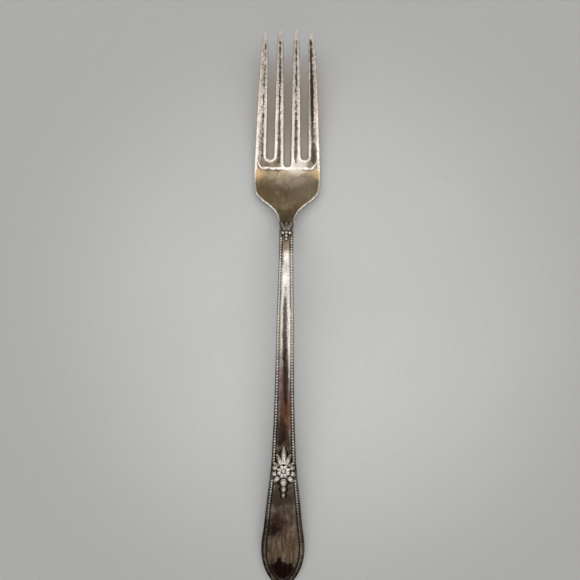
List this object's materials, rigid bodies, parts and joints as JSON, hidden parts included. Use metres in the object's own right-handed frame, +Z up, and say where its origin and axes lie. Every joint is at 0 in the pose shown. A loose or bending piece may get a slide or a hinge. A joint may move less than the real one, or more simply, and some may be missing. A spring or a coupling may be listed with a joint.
{
  "type": "dinner fork",
  "caption": "Silver-plated dinner fork with slender tines, a narrow arched stem, a rounded handle with a beaded border and a small leaf crest; lies on its back.",
  "frame": {"origin": "middle of the bounding box in plan, on the table plane under the fork as it lies on its back", "axes": "+Y along the fork towards the tips of the tines, +Z up out of the hollow side of the bowl, +X to the right"},
  "size_m": [0.0238, 0.192, 0.0172],
  "materials": {
    "nickel_silver": "worn nickel silver, yellowish and dull, seen only where the plate is worn through under the bowl and the handle",
    "aged_silver": "old electroplated silver: bright on worn rims and beads, brown to purple tarnish on the stem and the handle, fine scratches"
  },
  "bodies": {
    "root": {"nickel_silver_blank": "nickel_silver", "silver_plate": "aged_silver"}
  },
  "joints": []
}
